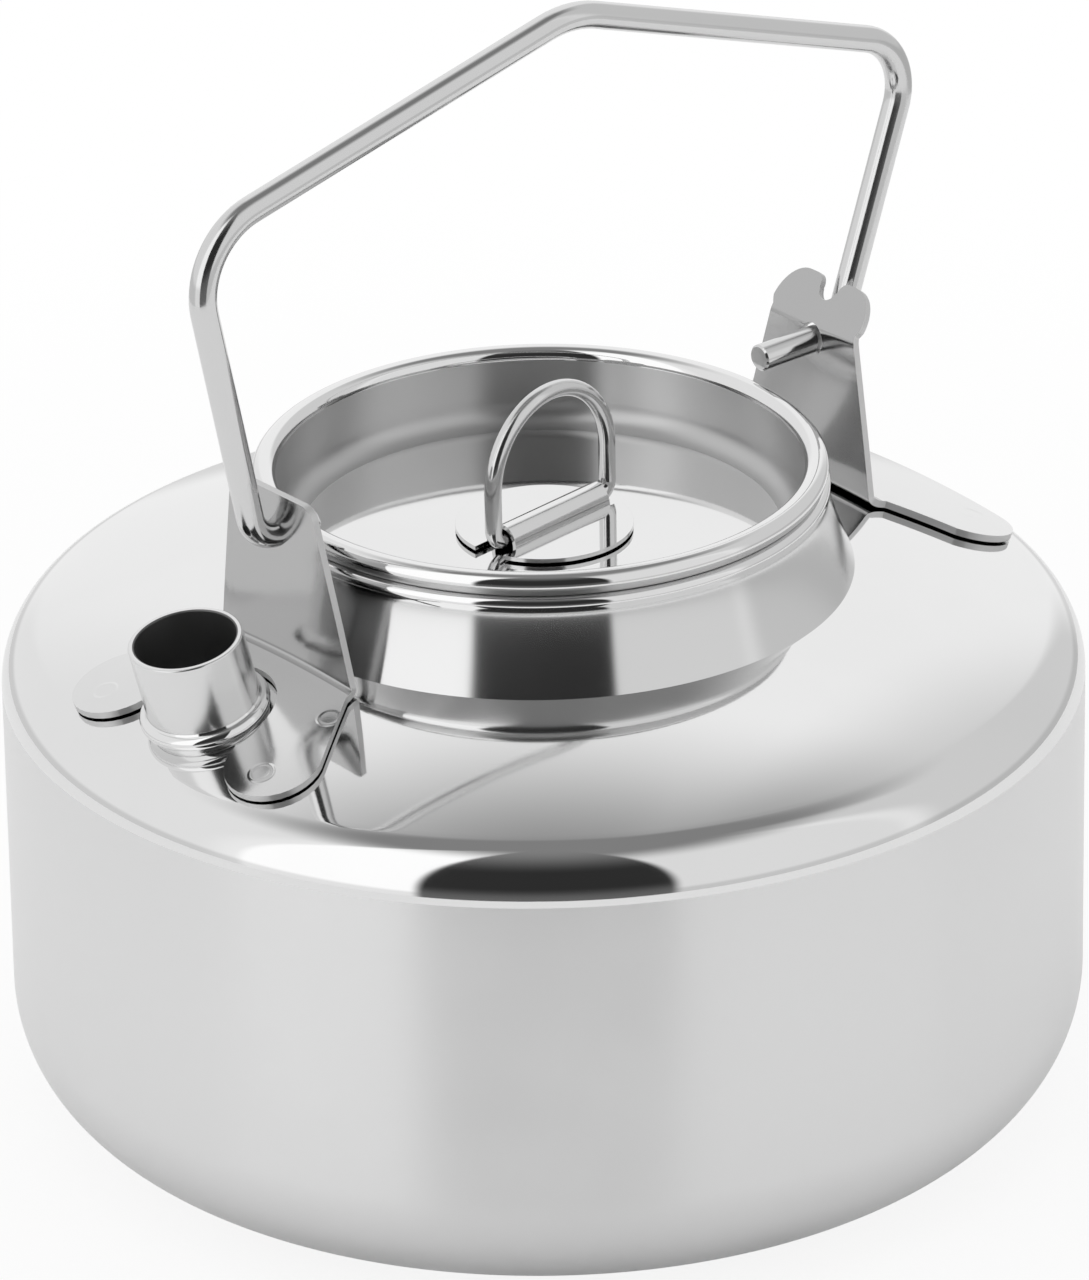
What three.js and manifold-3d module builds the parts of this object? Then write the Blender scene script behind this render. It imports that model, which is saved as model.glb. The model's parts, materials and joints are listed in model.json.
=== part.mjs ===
// Camping kettle of drawn stainless sheet: a round body with a mirror dome, a short straight spout,
// a dished lid with a flip-up D ring, and a fold-down bail handle held by two welded brackets.
//
// Millimetres, +Z up. The origin is the middle of the base, on the surface that the kettle stands on.
// The spout points along -X, and the bail folds about a line parallel to X through both bracket holes.

import * as THREE from "three";
import { mergeVertices } from "three/addons/utils/BufferGeometryUtils.js";
import Module from "manifold-3d";

const wasm = await Module();
wasm.setup();

// ---------------------------------------------------------------- driving dimensions

const GAP = 0.3; // running gap between pieces that touch
const ROUND_SIDES = 48; // facets around the large turned pieces
const TURN = Math.PI * 2;
const degrees = THREE.MathUtils.degToRad;

// body
const SHEET = 0.8; // drawn sheet of pan, dome, neck and lid
const BODY_RADIUS = 75;
const BASE_CORNER = 18; // radius between the base and the side wall
const SEAM_Z = 62.6; // weld between the pan and the dome
const SHOULDER_ROUND = 8; // radius between the side wall and the dome
const DOME_EDGE_SLOPE = degrees(20); // where the dome meets the shoulder's round edge
const DOME_INNER_SLOPE = degrees(13); // near the neck
const DOME_INNER_RADIUS = 47; // the dome steepens steadily from here to its edge
const DOME_MOUTH = 41; // radius of the hole under the neck

// neck
const NECK_FOOT_RADIUS = 43.1;
const NECK_TOP_RADIUS = 39.3;
const NECK_CURL = { radius: 38.5, z: 89.85, halfWidth: 1.5, halfHeight: 1.3 };

// lid
const LID_CURL = { radius: 37.9, z: 92.95, halfWidth: 1.75, halfHeight: 1.35 };
const LID_WALL = 36.6; // outer radius of the dished wall
const LID_FLOOR_Z = 83.3; // top of the lid's floor
const LID_CORNER = 3; // inner radius between the floor and the wall

// D ring and its holder
const RING_WIRE = 1.2; // radius of the wire
const RING_ARCH = 11.6; // radius of the arch, to the middle of the wire
const RING_LEG = 7.4; // straight legs between the bar and the arch
const RING_CORNER = 2; // bend between the bar and a leg
const RING_TURN = degrees(7); // the bar lies nearly along X
const RING_PLACE = [1.1, -0.85]; // middle of the bar, a little off the kettle's axis
const RING_BUTT = 0.4; // the wire's two ends meet inside the channel
const HOLDER_RADIUS = 12.3;
const HOLDER_OFFSET = [-0.5, 0.8]; // middle of the disc from the middle of its channel, along and across
const HOLDER_SHEET = 0.6;
const CHANNEL_LENGTH = 19.1;
const CHANNEL_INNER = 1.55;
const CHANNEL_OUTER = 2.3;

// spout
const SPOUT_X = -59.1; // where its axis crosses the dome
const SPOUT_LEAN = degrees(15.2); // outwards from vertical
const SPOUT_RIM_LEAN = degrees(11); // the mouth is cut a little nearer to level than square
const SPOUT_OUTER = 7.85;
const SPOUT_WALL = 0.9;
const SPOUT_ABOVE = 13.1; // length along the axis above the dome
const SPOUT_BELOW = 4;
const COLLAR_OUTER = 9;
const COLLAR_HEIGHT = 2.2;

// bail and brackets
const ROD = 1.9; // radius of the bail's rod
const PIVOT_Z = 97;
const PIVOT_HOLE = 2.3;
const FRONT_TAB_X = -46.3; // middle of the sheet at the height of the pivot
const REAR_TAB_X = 50.35;
const PLATE = 1; // thickness of both brackets
const PLATE_BEND = 2; // bend between tab and foot, to the middle of the sheet
const TAB_LEAN = degrees(4.5); // the tabs lean outwards as they rise
const TAB_TOP_WIDTH = 18;
const TAB_FOOT_WIDTH = 27.2;
const TAB_CORNER = 2.4;
const FRONT_TAB_TOP = 103.5;
const REAR_TAB_TOP = 104.7;
const REAR_KINK_Z = 99.6; // above it the rear tab turns out towards the rod
const REAR_KINK = degrees(34);
const NOTCH_HALF = 1.8; // the notch between the rear tab's two lobes
const NOTCH_DEPTH = 2.6;
const LOBE_INNER = 1.4; // corner radii of a lobe, beside the notch and outside
const LOBE_OUTER = 4.2;
const STUB_END = 40.1; // how near to the axis the rod's ends reach

// the bail's corners in its own upright plane: [x, z, bend radius to the middle of the rod]
const BAIL_CORNERS = [
  [-50.1, PIVOT_Z, 4.5],
  [-59.6, 142.4, 11],
  [6.7, 157.8, 16],
  [68.9, 136.5, 9],
  [54.7, PIVOT_Z, 5],
];

// ---------------------------------------------------------------- geometry helpers

function toManifold(geometry) {
  const bare = geometry.clone();
  bare.deleteAttribute("normal");
  bare.deleteAttribute("uv");
  const merged = mergeVertices(bare, 1e-4);
  const mesh = new wasm.Mesh({
    numProp: 3,
    vertProperties: new Float32Array(merged.attributes.position.array),
    triVerts: new Uint32Array(merged.index.array),
  });
  return new wasm.Manifold(mesh);
}

function toGeometry(solid) {
  const mesh = solid.getMesh();
  const geometry = new THREE.BufferGeometry();
  geometry.setAttribute("position", new THREE.BufferAttribute(new Float32Array(mesh.vertProperties), 3));
  geometry.setIndex(new THREE.BufferAttribute(new Uint32Array(mesh.triVerts), 1));
  geometry.computeVertexNormals();
  return geometry;
}

// A body turned about Z. The profile is a list of [radius, z], counterclockwise with radius to the right.
function turned(profile, sides = ROUND_SIDES) {
  const points = profile.map(([radius, z]) => new THREE.Vector2(radius, z));
  return new THREE.LatheGeometry(points, sides).rotateX(Math.PI / 2);
}

// Points along an arc of a profile, from one angle to another.
function arc(centreRadius, centreZ, radiusX, radiusZ, from, to, steps) {
  const points = [];
  for (let i = 0; i <= steps; i++) {
    const angle = degrees(from + ((to - from) * i) / steps);
    points.push([centreRadius + radiusX * Math.cos(angle), centreZ + radiusZ * Math.sin(angle)]);
  }
  return points;
}

// A flat outline from a list of points. Points that fall on the one before are left out.
function shapeFrom(points) {
  const shape = new THREE.Shape();
  let previous = points[points.length - 1];
  for (const point of points) {
    const step = Math.hypot(point[0] - previous[0], point[1] - previous[1]);
    if (step < 1e-3) continue;
    if (previous === points[points.length - 1]) shape.moveTo(...point);
    else shape.lineTo(...point);
    previous = point;
  }
  shape.closePath();
  return shape;
}

// A flat outline pushed through along Z, between two heights.
function prismZ(shape, low, high) {
  const options = { depth: high - low, bevelEnabled: false, curveSegments: 6 };
  return new THREE.ExtrudeGeometry(shape, options).translate(0, 0, low);
}

// A flat outline drawn in Y and Z, pushed through along X, between two places.
function prismX(shape, low, high) {
  const options = { depth: high - low, bevelEnabled: false, curveSegments: 6 };
  const axes = new THREE.Matrix4().makeBasis(
    new THREE.Vector3(0, 1, 0),
    new THREE.Vector3(0, 0, 1),
    new THREE.Vector3(1, 0, 0),
  );
  return new THREE.ExtrudeGeometry(shape, options).applyMatrix4(axes).translate(low, 0, 0);
}

// A path of straight runs and round bends. Its stations are close together only where it bends.
class BentPath extends THREE.Curve {
  constructor(start, corners, end, degreesPerStep = 15) {
    super();
    this.stations = [start];
    this.headings = [];
    const knots = [start, ...corners.map((corner) => corner.point), end];
    this.headings.push(knots[1].clone().sub(start).normalize());
    corners.forEach((corner, index) => {
      const before = corner.point.clone().sub(knots[index]).normalize();
      const after = knots[index + 2].clone().sub(corner.point).normalize();
      const turn = before.angleTo(after);
      const reach = corner.radius * Math.tan(turn / 2);
      const inward = after.clone().addScaledVector(before, -after.dot(before)).normalize();
      const first = corner.point.clone().addScaledVector(before, -reach);
      const centre = first.clone().addScaledVector(inward, corner.radius);
      const steps = Math.max(2, Math.ceil(turn / degrees(degreesPerStep)));
      for (let i = 0; i <= steps; i++) {
        const angle = (turn * i) / steps;
        this.stations.push(
          centre
            .clone()
            .addScaledVector(inward, -corner.radius * Math.cos(angle))
            .addScaledVector(before, corner.radius * Math.sin(angle)),
        );
        this.headings.push(
          before.clone().multiplyScalar(Math.cos(angle)).addScaledVector(inward, Math.sin(angle)),
        );
      }
    });
    this.stations.push(end);
    this.headings.push(end.clone().sub(knots[knots.length - 2]).normalize());
  }

  get steps() {
    return this.stations.length - 1;
  }

  getPointAt(share) {
    return this.stations[Math.round(share * this.steps)].clone();
  }

  getTangentAt(share) {
    return this.headings[Math.round(share * this.steps)].clone();
  }
}

// A round rod or wire bent along a path.
function bentRod(path, radius, sides) {
  const section = new THREE.Shape();
  for (let i = 0; i < sides; i++) {
    const angle = (TURN * i) / sides;
    const place = [radius * Math.cos(angle), radius * Math.sin(angle)];
    if (i === 0) section.moveTo(...place);
    else section.lineTo(...place);
  }
  section.closePath();
  return new THREE.ExtrudeGeometry(section, { steps: path.steps, bevelEnabled: false, extrudePath: path });
}

// ---------------------------------------------------------------- body

const DOME_EDGE_RADIUS = BODY_RADIUS - SHOULDER_ROUND + SHOULDER_ROUND * Math.sin(DOME_EDGE_SLOPE);
const DOME_EDGE_Z = SEAM_Z + SHOULDER_ROUND * Math.cos(DOME_EDGE_SLOPE);

// Height of the dome's outer face at a distance from the axis.
function domeHeight(radius) {
  if (radius > DOME_EDGE_RADIUS) {
    const out = Math.min(radius - (BODY_RADIUS - SHOULDER_ROUND), SHOULDER_ROUND);
    return SEAM_Z + Math.sqrt(SHOULDER_ROUND ** 2 - out ** 2);
  }
  const inner = Math.tan(DOME_INNER_SLOPE);
  const edge = Math.tan(DOME_EDGE_SLOPE);
  const steepening = (edge - inner) / (DOME_EDGE_RADIUS - DOME_INNER_RADIUS);
  const run = DOME_EDGE_RADIUS - Math.max(radius, DOME_INNER_RADIUS);
  const innerRun = Math.max(DOME_INNER_RADIUS - radius, 0);
  return DOME_EDGE_Z + edge * run - (steepening * run ** 2) / 2 + inner * innerRun;
}

function lowerPan() {
  const centre = BODY_RADIUS - BASE_CORNER;
  const inner = BASE_CORNER - SHEET;
  const top = SEAM_Z - GAP;
  return turned([
    [0, 0],
    ...arc(centre, BASE_CORNER, BASE_CORNER, BASE_CORNER, -90, 0, 5),
    [BODY_RADIUS, top],
    [BODY_RADIUS - SHEET, top],
    ...arc(centre, BASE_CORNER, inner, inner, 0, -90, 5),
    [0, SHEET],
  ]);
}

function spoutPlace(geometry) {
  const base = new THREE.Vector3(SPOUT_X, 0, domeHeight(-SPOUT_X));
  return geometry.rotateY(-SPOUT_LEAN).translate(base.x, base.y, base.z);
}

function shoulderDome() {
  const centre = BODY_RADIUS - SHOULDER_ROUND;
  const inner = SHOULDER_ROUND - SHEET;
  const roundEnd = 90 - THREE.MathUtils.radToDeg(DOME_EDGE_SLOPE);
  const drop = SHEET / Math.cos(DOME_EDGE_SLOPE);
  const stations = [65, 60, 55, 51, DOME_INNER_RADIUS, DOME_MOUTH];
  const outside = stations.map((radius) => [radius, domeHeight(radius)]);
  const inside = outside.map(([radius, z]) => [radius, z - drop]).reverse();
  const shell = turned([
    ...arc(centre, SEAM_Z, SHOULDER_ROUND, SHOULDER_ROUND, 0, roundEnd, 5),
    ...outside,
    ...inside,
    ...arc(centre, SEAM_Z, inner, inner, roundEnd, 0, 5),
    [BODY_RADIUS, SEAM_Z],
  ]);
  const drill = new THREE.CylinderGeometry(SPOUT_OUTER + 0.4, SPOUT_OUTER + 0.4, 20, 24);
  const spoutHole = spoutPlace(drill.rotateX(Math.PI / 2));
  return toGeometry(toManifold(shell).subtract(toManifold(spoutHole)));
}

function neckCollar() {
  const footZ = domeHeight(NECK_FOOT_RADIUS) + GAP;
  const { radius, z, halfWidth, halfHeight } = NECK_CURL;
  return turned([
    [NECK_FOOT_RADIUS - SHEET, footZ + SHEET * Math.tan(DOME_INNER_SLOPE)],
    [NECK_FOOT_RADIUS, footZ],
    [NECK_TOP_RADIUS, z - halfHeight * 0.8],
    ...arc(radius, z, halfWidth, halfHeight, -40, 180, 8),
    [radius - halfWidth, z - halfHeight],
    [NECK_FOOT_RADIUS - SHEET, footZ + SHEET * Math.tan(DOME_INNER_SLOPE)],
  ]);
}

// ---------------------------------------------------------------- spout

function spoutTube() {
  const inner = SPOUT_OUTER - SPOUT_WALL;
  const tube = turned(
    [
      [inner, -SPOUT_BELOW],
      [SPOUT_OUTER, -SPOUT_BELOW],
      [SPOUT_OUTER, SPOUT_ABOVE - 0.2],
      [SPOUT_OUTER - 0.2, SPOUT_ABOVE],
      [inner, SPOUT_ABOVE],
      [inner, -SPOUT_BELOW],
    ],
    24,
  );
  const tilt = Math.tan(SPOUT_LEAN - SPOUT_RIM_LEAN);
  const { position } = tube.attributes;
  for (let i = 0; i < position.count; i++) {
    const height = position.getZ(i);
    if (height > 0) position.setZ(i, height - tilt * position.getX(i));
  }
  return spoutPlace(tube);
}

function spoutCollar() {
  const inner = SPOUT_OUTER + GAP;
  const low = 0.6; // keeps the collar's lower edge off the dome all round
  const crown = COLLAR_HEIGHT / 2;
  const bead = turned(
    [
      [inner, low],
      [COLLAR_OUTER - 0.3, low],
      ...arc(COLLAR_OUTER - 0.8, low + crown, 0.8, crown * 0.8, -60, 90, 4),
      [inner, low + crown * 1.8],
      [inner, low],
    ],
    24,
  );
  return spoutPlace(bead);
}

// ---------------------------------------------------------------- brackets

// Height of the middle of a foot's sheet above the dome.
const FOOT_LIFT = GAP + PLATE / 2 / Math.cos(DOME_EDGE_SLOPE);
const FOOT_LIMIT = 69; // the sheet is cut out short of this distance from the axis

// One broad sheet that comes down the tab, bends outwards and lies along the dome. The profile is a list of
// corners on the +X side, from the tab's top to the foot's end. Across Y the sheet follows the round dome.
function bentSheet(profile, side) {
  const halfWidth = 28;
  const corner = ([x, z, radius]) => ({ point: new THREE.Vector3(x, 0, z), radius });
  const start = corner(profile[0]).point;
  const end = corner(profile[profile.length - 1]).point;
  const path = new BentPath(start, profile.slice(1, -1).map(corner), end, 20);
  const rows = path.stations.map((station, index) => ({ station, heading: path.headings[index] }));
  const footEnd = rows.pop();
  const bendEnd = rows[rows.length - 1].station;
  const footStart = rows.length;
  const footRows = 9; // enough rows for the foot to follow the dome's round edge
  for (let i = 1; i <= footRows; i++) {
    rows.push({ station: bendEnd.clone().lerp(footEnd.station, i / footRows), heading: footEnd.heading });
  }
  const columns = 14;
  const positions = [];
  const faces = [];
  for (const face of [1, -1]) {
    rows.forEach(({ station, heading }, row) => {
      for (let j = 0; j <= columns; j++) {
        const y = halfWidth * ((2 * j) / columns - 1);
        const fall = domeHeight(Math.hypot(bendEnd.x, y)) - domeHeight(bendEnd.x);
        const onDome = domeHeight(Math.hypot(station.x, y)) + FOOT_LIFT;
        const middle = row < footStart ? station.z + fall : onDome;
        const offset = (face * PLATE) / 2;
        positions.push(side * (station.x - heading.z * offset), side * y, middle + heading.x * offset);
      }
    });
  }
  const across = columns + 1;
  const sheetSize = rows.length * across;
  const quad = (a, b, c, d) => faces.push(a, b, c, a, c, d);
  for (let i = 0; i < rows.length - 1; i++) {
    for (let j = 0; j < columns; j++) {
      const a = i * across + j;
      quad(a, a + across, a + across + 1, a + 1);
      quad(a + sheetSize, a + sheetSize + 1, a + sheetSize + across + 1, a + sheetSize + across);
    }
    for (const j of [0, columns]) {
      const a = i * across + j;
      if (j === 0) quad(a, a + sheetSize, a + sheetSize + across, a + across);
      else quad(a, a + across, a + sheetSize + across, a + sheetSize);
    }
  }
  for (let j = 0; j < columns; j++) {
    const a = (rows.length - 1) * across + j;
    quad(j, j + 1, j + 1 + sheetSize, j + sheetSize);
    quad(a, a + sheetSize, a + 1 + sheetSize, a + 1);
  }
  const geometry = new THREE.BufferGeometry();
  geometry.setAttribute("position", new THREE.BufferAttribute(new Float32Array(positions), 3));
  geometry.setIndex(faces);
  return toManifold(geometry);
}

// Outline of a tab in Y and Z: wide at the foot, narrow at the pivot, with a straight top or two lobes.
function tabOutline(low, top, notched) {
  const half = TAB_TOP_WIDTH / 2;
  const footHalf = TAB_FOOT_WIDTH / 2;
  const right = [
    [footHalf, low - 6],
    [footHalf, low],
  ];
  if (notched) {
    right.push([half - 0.5, REAR_KINK_Z]);
    right.push(...arc(half - LOBE_OUTER, top - LOBE_OUTER, LOBE_OUTER, LOBE_OUTER, 0, 90, 5));
    right.push(...arc(NOTCH_HALF + LOBE_INNER, top - LOBE_INNER, LOBE_INNER, LOBE_INNER, 90, 180, 3));
    const bottom = top - NOTCH_DEPTH + NOTCH_HALF;
    right.push(...arc(0, bottom, NOTCH_HALF, NOTCH_HALF, 0, -90, 4));
  } else {
    right.push(...arc(half - TAB_CORNER, top - TAB_CORNER, TAB_CORNER, TAB_CORNER, 0, 90, 4));
  }
  const left = right.map(([y, z]) => [-y, z]).reverse();
  return shapeFrom([...right, ...left]);
}

// Outline of a foot in X and Y, on the +X side: it widens from the bend to two round corners.
// A forked foot also has a slot with a round end, which leaves a prong on each side.
function footOutline(from, corner, slot) {
  const { x, y, radius } = corner;
  const half = TAB_FOOT_WIDTH / 2;
  const widening = THREE.MathUtils.radToDeg(Math.atan2(y + radius - half, x - from));
  const outer = 90 + widening;
  const tip = slot ? 90 : 0;
  const lower = [[from, -half], ...arc(x, -y, radius, radius, -outer, tip, 8)];
  if (slot) lower.push(...arc(slot.x, 0, slot.radius, slot.radius, -90, -180, 6));
  const upper = lower.map(([px, py]) => [px, -py]).reverse();
  return shapeFrom([...lower, ...upper]);
}

function bracket({ tabX, side, top, kinked, corner, slot }) {
  const x = Math.abs(tabX);
  const lean = Math.tan(TAB_LEAN);
  const bendX = x - (PIVOT_Z - domeHeight(x)) * lean;
  const low = domeHeight(bendX);
  const spare = 2; // the sheet stands this far above the tab before it is cut out
  const profile = [];
  if (kinked) {
    const kinkX = x + (REAR_KINK_Z - PIVOT_Z) * lean;
    const rise = top + spare - REAR_KINK_Z;
    profile.push([kinkX + rise * Math.tan(TAB_LEAN + REAR_KINK), top + spare]);
    profile.push([kinkX, REAR_KINK_Z, 2.5]);
  } else {
    profile.push([x + (top + spare - PIVOT_Z) * lean, top + spare]);
  }
  profile.push([bendX, low + FOOT_LIFT, PLATE_BEND]);
  profile.push([FOOT_LIMIT, low + FOOT_LIFT - (FOOT_LIMIT - bendX) * Math.tan(DOME_INNER_SLOPE)]);
  const sheet = bentSheet(profile, side);

  const tabReach = kinked ? 12 : 1.5;
  const tabCutter = prismX(tabOutline(low, top, kinked), bendX - 4, x + tabReach);
  const footCutter = prismZ(footOutline(bendX + 1, corner, slot), SEAM_Z, low + 3.5);
  const [tabBlock, footBlock] = [tabCutter, footCutter].map((geometry) =>
    toManifold(side < 0 ? geometry.rotateZ(Math.PI) : geometry),
  );
  const pivotHole = new THREE.CylinderGeometry(PIVOT_HOLE, PIVOT_HOLE, 12, 20).rotateZ(Math.PI / 2);
  pivotHole.translate(tabX, 0, PIVOT_Z);
  return toGeometry(sheet.intersect(tabBlock.add(footBlock)).subtract(toManifold(pivotHole)));
}

// ---------------------------------------------------------------- bail

function bailHandle() {
  const corners = BAIL_CORNERS.map(([x, z, radius]) => ({ point: new THREE.Vector3(x, 0, z), radius }));
  const start = new THREE.Vector3(-STUB_END, 0, PIVOT_Z);
  const end = new THREE.Vector3(STUB_END, 0, PIVOT_Z);
  return bentRod(new BentPath(start, corners, end), ROD, 12);
}

// ---------------------------------------------------------------- lid, ring and holder

function lidPan() {
  const { radius, z, halfWidth, halfHeight } = LID_CURL;
  const inner = LID_WALL - SHEET;
  const outerCorner = LID_CORNER + SHEET;
  return turned([
    [0, LID_FLOOR_Z - SHEET],
    ...arc(LID_WALL - outerCorner, LID_FLOOR_Z + LID_CORNER, outerCorner, outerCorner, -90, 0, 4),
    [LID_WALL, z - halfHeight * 0.8],
    ...arc(radius, z, halfWidth, halfHeight, -60, 180, 9),
    [inner, z - halfHeight],
    ...arc(inner - LID_CORNER, LID_FLOOR_Z + LID_CORNER, LID_CORNER, LID_CORNER, 0, -90, 4),
    [0, LID_FLOOR_Z],
  ]);
}

const HOLDER_Z = LID_FLOOR_Z + GAP;
const BAR_Z = LID_FLOOR_Z + GAP + RING_WIRE + 0.1;

// Puts a piece that was made along X on the lid, where the ring's bar is.
function ringPlace(geometry) {
  return geometry.rotateZ(RING_TURN).translate(...RING_PLACE, 0);
}

function ringHolder() {
  const disc = new THREE.CylinderGeometry(HOLDER_RADIUS, HOLDER_RADIUS, HOLDER_SHEET, 36);
  disc.rotateX(Math.PI / 2).translate(...HOLDER_OFFSET, HOLDER_Z + HOLDER_SHEET / 2);
  const strip = new THREE.BoxGeometry(3 * HOLDER_RADIUS, 2 * CHANNEL_INNER + 0.4, 4);
  strip.translate(0, 0, HOLDER_Z);
  const wide = CHANNEL_OUTER + 0.3;
  const endNotches = [-1, 1].map((end) => {
    const box = new THREE.BoxGeometry(HOLDER_RADIUS, 2 * wide, 4);
    return toManifold(box.translate(end * (CHANNEL_LENGTH + HOLDER_RADIUS) * 0.5, 0, HOLDER_Z));
  });
  const section = new THREE.Shape();
  section.moveTo(-CHANNEL_OUTER, HOLDER_Z);
  section.lineTo(-CHANNEL_INNER, HOLDER_Z);
  section.absarc(0, BAR_Z, CHANNEL_INNER, Math.PI, 0, true);
  section.lineTo(CHANNEL_INNER, HOLDER_Z);
  section.lineTo(CHANNEL_OUTER, HOLDER_Z);
  section.absarc(0, BAR_Z, CHANNEL_OUTER, 0, Math.PI, false);
  section.closePath();
  const channel = prismX(section, -CHANNEL_LENGTH / 2, CHANNEL_LENGTH / 2);
  let plate = toManifold(disc).subtract(toManifold(strip));
  for (const notch of endNotches) plate = plate.subtract(notch);
  return ringPlace(toGeometry(plate.add(toManifold(channel))));
}

function lidRing() {
  const side = RING_ARCH;
  const shoulder = BAR_Z + RING_LEG;
  const knot = (x, z, radius) => ({ point: new THREE.Vector3(x, 0, z), radius });
  const arch = RING_ARCH - 0.05; // the arch is two quarter bends that meet at the top
  const corners = [
    knot(side, BAR_Z, RING_CORNER),
    knot(side, shoulder + side, arch),
    knot(-side, shoulder + side, arch),
    knot(-side, BAR_Z, RING_CORNER),
  ];
  const start = new THREE.Vector3(RING_BUTT / 2, 0, BAR_Z);
  const end = new THREE.Vector3(-RING_BUTT / 2, 0, BAR_Z);
  return ringPlace(bentRod(new BentPath(start, corners, end), RING_WIRE, 8));
}

// ---------------------------------------------------------------- assembly

const mirror = { color: 0xd9dadc, metalness: 1, roughness: 0.06 };
const satin = { color: 0xcfd0d2, metalness: 1, roughness: 0.35 };
const brushed = { color: 0xc6c7c9, metalness: 1, roughness: 0.25 };

function piece(name, geometry, finish) {
  const mesh = new THREE.Mesh(geometry, new THREE.MeshStandardMaterial(finish));
  mesh.name = name;
  return mesh;
}

const frontFoot = { corner: { x: 60.9, y: 16.4, radius: 6.7 }, slot: { x: -SPOUT_X, radius: 9.5 } };
const rearFoot = { corner: { x: 60.3, y: 20.4, radius: 6.7 } };

const kettle = new THREE.Group();
const body = new THREE.Group();
body.add(
  piece("lower_pan", lowerPan(), satin),
  piece("shoulder_dome", shoulderDome(), mirror),
  piece("neck_collar", neckCollar(), mirror),
  piece("spout_tube", spoutTube(), brushed),
  piece("spout_collar", spoutCollar(), mirror),
  piece(
    "front_bracket",
    bracket({ tabX: FRONT_TAB_X, side: -1, top: FRONT_TAB_TOP, kinked: false, ...frontFoot }),
    brushed,
  ),
  piece(
    "rear_bracket",
    bracket({ tabX: REAR_TAB_X, side: 1, top: REAR_TAB_TOP, kinked: true, ...rearFoot }),
    brushed,
  ),
);
const lid = new THREE.Group();
lid.add(
  piece("lid_pan", lidPan(), mirror),
  piece("ring_holder", ringHolder(), mirror),
  piece("lid_ring", lidRing(), mirror),
);
kettle.add(body, lid, piece("bail_handle", bailHandle(), satin));

export default kettle;
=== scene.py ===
"""A stainless camping kettle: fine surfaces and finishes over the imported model, in a white studio tent.

Lengths are written in millimetres and turned into metres where a mesh is made.
The spout points along -X, and the bail folds about a line parallel to X.
"""

import bmesh
import bpy
import json
import math
from mathutils import Matrix, Vector

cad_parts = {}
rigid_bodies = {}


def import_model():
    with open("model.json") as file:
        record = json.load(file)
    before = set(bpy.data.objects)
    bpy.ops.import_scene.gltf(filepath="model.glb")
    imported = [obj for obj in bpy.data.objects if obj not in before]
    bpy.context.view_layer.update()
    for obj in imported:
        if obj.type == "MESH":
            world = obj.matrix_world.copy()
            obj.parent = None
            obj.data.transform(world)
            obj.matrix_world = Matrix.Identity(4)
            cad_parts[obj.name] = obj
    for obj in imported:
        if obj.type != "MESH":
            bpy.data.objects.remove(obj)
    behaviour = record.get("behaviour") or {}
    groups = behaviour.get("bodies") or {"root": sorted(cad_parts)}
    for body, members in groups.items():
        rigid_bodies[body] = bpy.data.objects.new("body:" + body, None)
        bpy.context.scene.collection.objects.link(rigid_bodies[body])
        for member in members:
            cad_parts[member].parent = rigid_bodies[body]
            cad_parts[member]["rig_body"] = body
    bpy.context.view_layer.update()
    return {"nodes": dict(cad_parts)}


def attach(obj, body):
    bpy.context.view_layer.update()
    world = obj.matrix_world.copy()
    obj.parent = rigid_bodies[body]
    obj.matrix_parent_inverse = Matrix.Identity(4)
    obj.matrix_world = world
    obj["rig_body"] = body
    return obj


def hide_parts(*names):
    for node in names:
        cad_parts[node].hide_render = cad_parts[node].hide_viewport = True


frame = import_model()

MM = 0.001
STEPS_ROUND = 288

# ---------------------------------------------------------------- dimensions

SHEET = 0.8
BODY_RADIUS = 75
BASE_CORNER = 18
SEAM_Z = 62.6
SHOULDER_ROUND = 8
DOME_EDGE_SLOPE = math.radians(20)
DOME_INNER_SLOPE = math.radians(13)
DOME_INNER_RADIUS = 47
DOME_MOUTH = 41

NECK_TOP_RADIUS = 39.6
NECK_FLARE = 3.55
NECK_FLARE_POWER = 1.3
NECK_TOP_Z = 89
NECK_FILLET = 0.12
NECK_FILLET_HEIGHT = 0.4
NECK_BEAD = 1.1
NECK_BEAD_INSET = 0.95
NECK_BEAD_DROP = 0.15

LID_RIM_RADIUS = 38
LID_RIM_Z = 92.6
LID_RIM = 1.65
LID_FLOOR_Z = 83.3
LID_CORNER = 3.2

SPOUT_X = -59.1
SPOUT_LEAN = math.radians(15.2)
SPOUT_RIM_LEAN = math.radians(11)
SPOUT_OUTER = 7.85
SPOUT_WALL = 0.9
SPOUT_ABOVE = 13.1
SPOUT_BELOW = 4
SPOUT_EDGE = 0.25
COLLAR_BEAD = 1.05
COLLAR_BEAD_HEIGHT = 1.6
COLLAR_LOW = 0.2
COLLAR_HIGH = 2.9

RING_WIRE = 1.2
RING_ARCH = 11.55
RING_LEG = 7.4
RING_CORNER = 2
RING_TURN = math.radians(7)
RING_PLACE = (1.1, -0.85)
HOLDER_RADIUS = 12.3
HOLDER_OFFSET = (-0.5, 0.8)
HOLDER_SHEET = 0.6
HOLDER_EDGE = 0.1
HOLDER_NOTCH = 0.45
CHANNEL_LENGTH = 19.1
CHANNEL_RADIUS = 2.0
CHANNEL_ROOM = 0.3
HOLDER_Z = LID_FLOOR_Z + 0.3
BAR_Z = LID_FLOOR_Z + 1.6

ROD = 1.9
PIVOT_Z = 97
PIVOT_HOLE = 2.3
STUB_END = 40.1
BAIL_CORNERS = [
    (-50.1, PIVOT_Z, 4.5),
    (-59.6, 142.4, 11),
    (6.7, 157.8, 16),
    (68.9, 136.5, 9),
    (54.7, PIVOT_Z, 5),
]

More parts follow.
